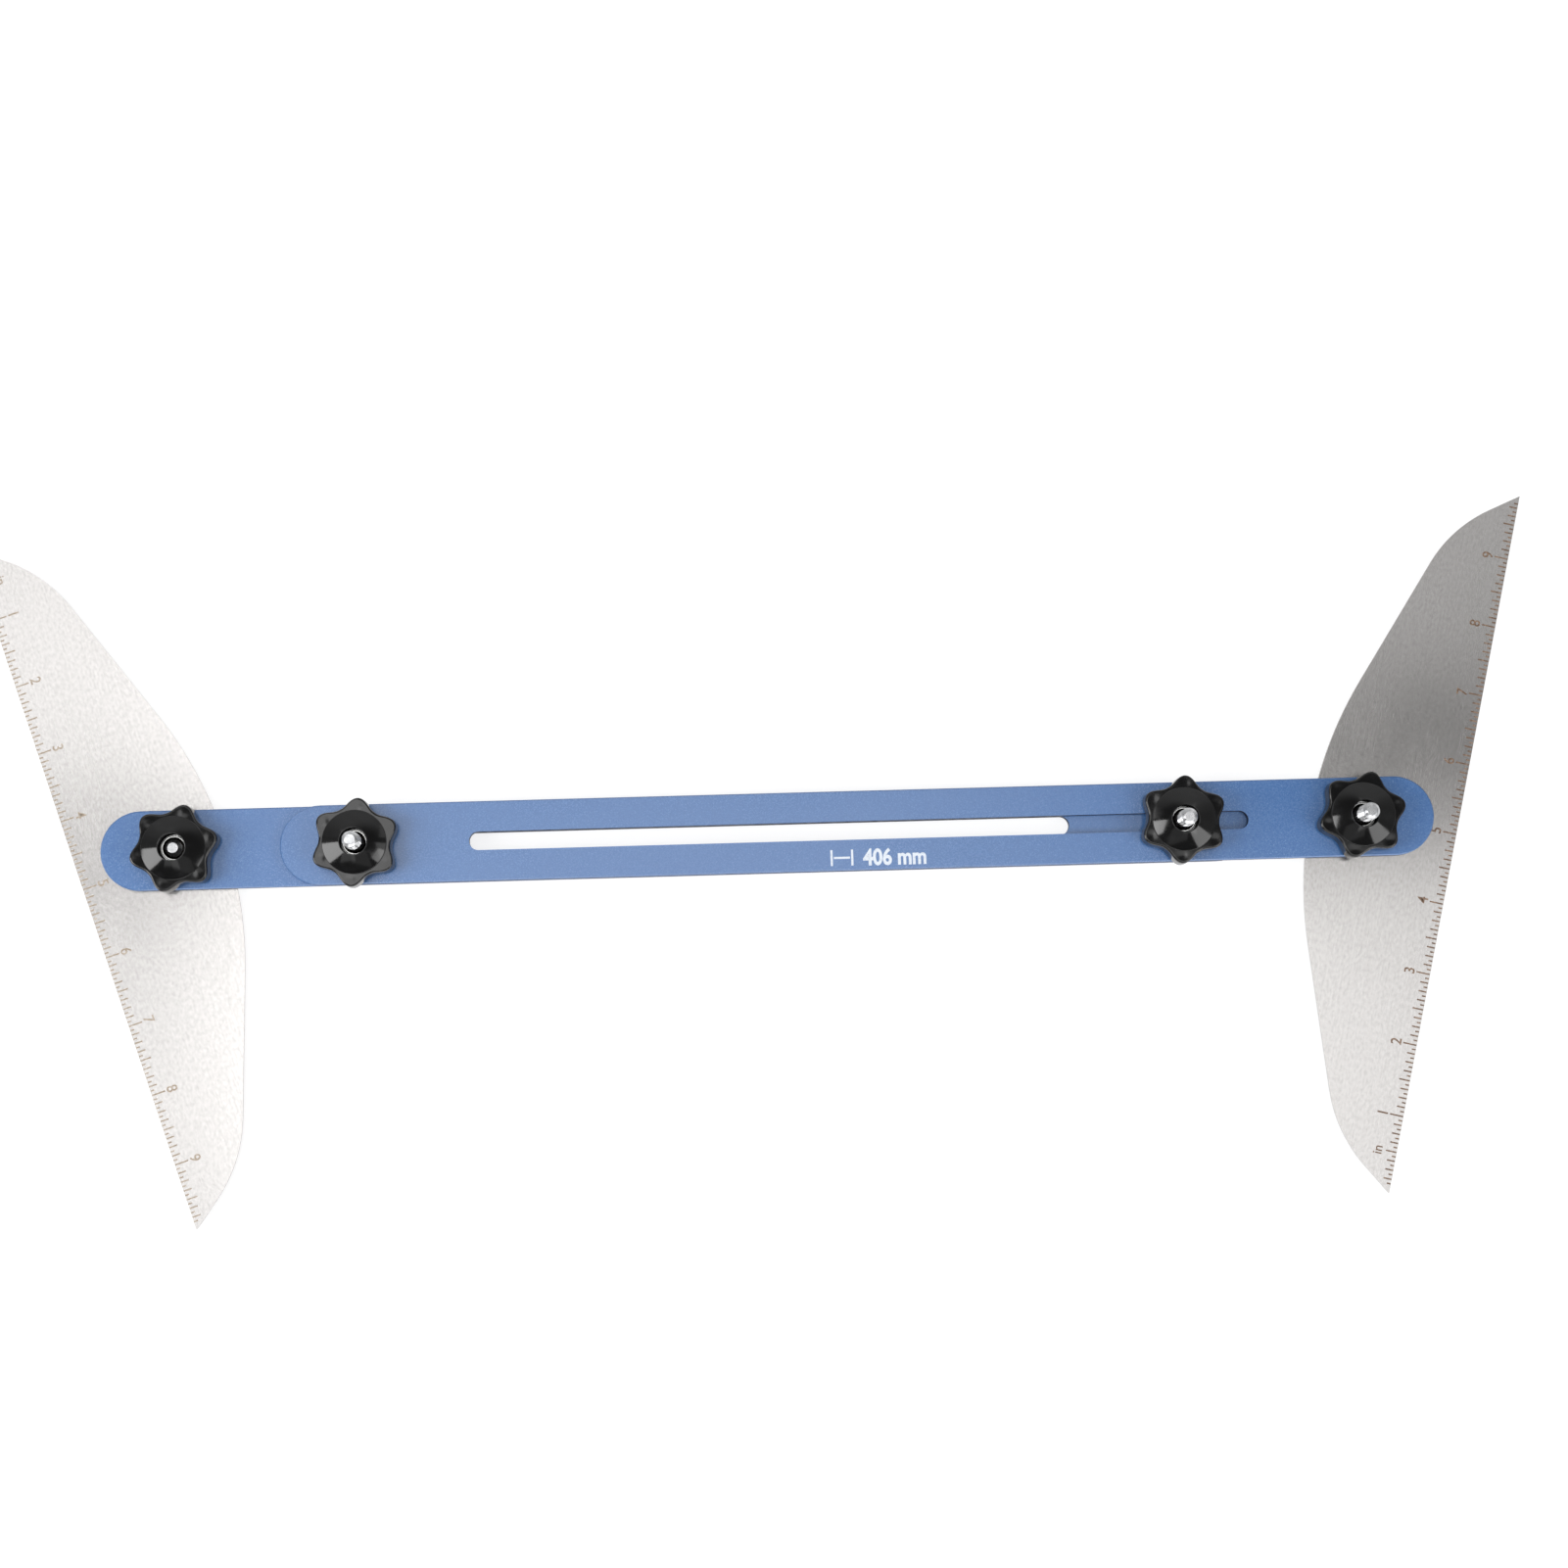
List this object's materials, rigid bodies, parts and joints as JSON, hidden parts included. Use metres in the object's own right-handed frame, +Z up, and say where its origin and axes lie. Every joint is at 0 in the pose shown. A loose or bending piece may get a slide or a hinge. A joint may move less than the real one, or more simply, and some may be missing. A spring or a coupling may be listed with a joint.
{
  "type": "stair tread gauge",
  "caption": "Stair tread gauge: slotted bars slide on each other to set a width, and ruled steel plates pivot at the outer ends to copy angles, locked by star knobs.",
  "frame": {"origin": "middle of the gauge's footprint as pictured, on the surface that it lies on", "axes": "+X along the bars towards the upper bar's outer end, +Y along the plates towards the top of the picture, +Z up out of the face with the knobs"},
  "size_m": [0.555, 0.2464, 0.0304],
  "materials": {
    "blue_bar": "blue satin coat with a fine grain",
    "steel_plate": "brushed along the plate",
    "zinc_bolt": "bright zinc plate",
    "brass_insert": "turned",
    "knob_plastic": "gloss moulded black"
  },
  "bodies": {
    "upper_bar": {"upper_bar": "blue_bar", "left_clamp_bolt": "zinc_bolt", "left_clamp_washer": "zinc_bolt"},
    "lower_bar": {"lower_bar": "blue_bar", "right_clamp_bolt": "zinc_bolt", "right_clamp_washer": "zinc_bolt"},
    "right_plate": {"right_plate": "steel_plate", "right_pivot_bolt": "zinc_bolt", "right_pivot_washer": "zinc_bolt"},
    "left_plate": {"left_plate": "steel_plate", "left_pivot_bolt": "zinc_bolt", "left_pivot_washer": "zinc_bolt"},
    "left_pivot_insert": {"left_pivot_insert": "brass_insert"},
    "left_pivot_knob": {"left_pivot_knob": "knob_plastic"},
    "left_clamp_insert": {"left_clamp_insert": "brass_insert"},
    "left_clamp_knob": {"left_clamp_knob": "knob_plastic"},
    "right_clamp_insert": {"right_clamp_insert": "brass_insert"},
    "right_clamp_knob": {"right_clamp_knob": "knob_plastic"},
    "right_pivot_insert": {"right_pivot_insert": "brass_insert"},
    "right_pivot_knob": {"right_pivot_knob": "knob_plastic"}
  },
  "joints": [
    {"name": "bar_slide", "type": "slide", "parent": "upper_bar", "child": "lower_bar", "axis": [-1, 0, 0], "range_m": [-0.0104, 0.2444]},
    {"name": "right_plate_swing", "type": "hinge", "parent": "upper_bar", "child": "right_plate", "pos_m": [0.21185, 0.00871, 0.0069], "axis": [0, 0, 1], "range_deg": [-31, 59]},
    {"name": "left_plate_swing", "type": "hinge", "parent": "lower_bar", "child": "left_plate", "pos_m": [-0.20364, 0.00871, 0.0039], "axis": [0, 0, 1], "range_deg": [-63.2, 26.8]},
    {"name": "left_pivot_insert_rise", "type": "slide", "parent": "left_plate", "child": "left_pivot_insert", "axis": [0, 0, 1], "range_m": [-0.0001, 0.0021]},
    {"name": "left_pivot_knob_turn", "type": "hinge", "parent": "left_pivot_insert", "child": "left_pivot_knob", "pos_m": [-0.20364, 0.00871, 0.0099], "axis": [0, 0, 1], "range_deg": [0, 720]},
    {"name": "left_clamp_insert_rise", "type": "slide", "parent": "upper_bar", "child": "left_clamp_insert", "axis": [0, 0, 1], "range_m": [-0.0001, 0.0021]},
    {"name": "left_clamp_knob_turn", "type": "hinge", "parent": "left_clamp_insert", "child": "left_clamp_knob", "pos_m": [-0.14055, 0.00871, 0.0099], "axis": [0, 0, 1], "range_deg": [0, 720]},
    {"name": "right_clamp_insert_rise", "type": "slide", "parent": "lower_bar", "child": "right_clamp_insert", "axis": [0, 0, 1], "range_m": [-0.0001, 0.0021]},
    {"name": "right_clamp_knob_turn", "type": "hinge", "parent": "right_clamp_insert", "child": "right_clamp_knob", "pos_m": [0.14875, 0.00871, 0.0099], "axis": [0, 0, 1], "range_deg": [0, 720]},
    {"name": "right_pivot_insert_rise", "type": "slide", "parent": "right_plate", "child": "right_pivot_insert", "axis": [0, 0, 1], "range_m": [-0.0001, 0.0021]},
    {"name": "right_pivot_knob_turn", "type": "hinge", "parent": "right_pivot_insert", "child": "right_pivot_knob", "pos_m": [0.21185, 0.00871, 0.0099], "axis": [0, 0, 1], "range_deg": [0, 720]}
  ],
  "couplings": [
    {"joint": "left_pivot_insert_rise", "follows": "left_pivot_knob_turn", "m_per_rad": 0.00015915},
    {"joint": "left_clamp_insert_rise", "follows": "left_clamp_knob_turn", "m_per_rad": 0.00015915},
    {"joint": "right_clamp_insert_rise", "follows": "right_clamp_knob_turn", "m_per_rad": 0.00015915},
    {"joint": "right_pivot_insert_rise", "follows": "right_pivot_knob_turn", "m_per_rad": 0.00015915}
  ]
}
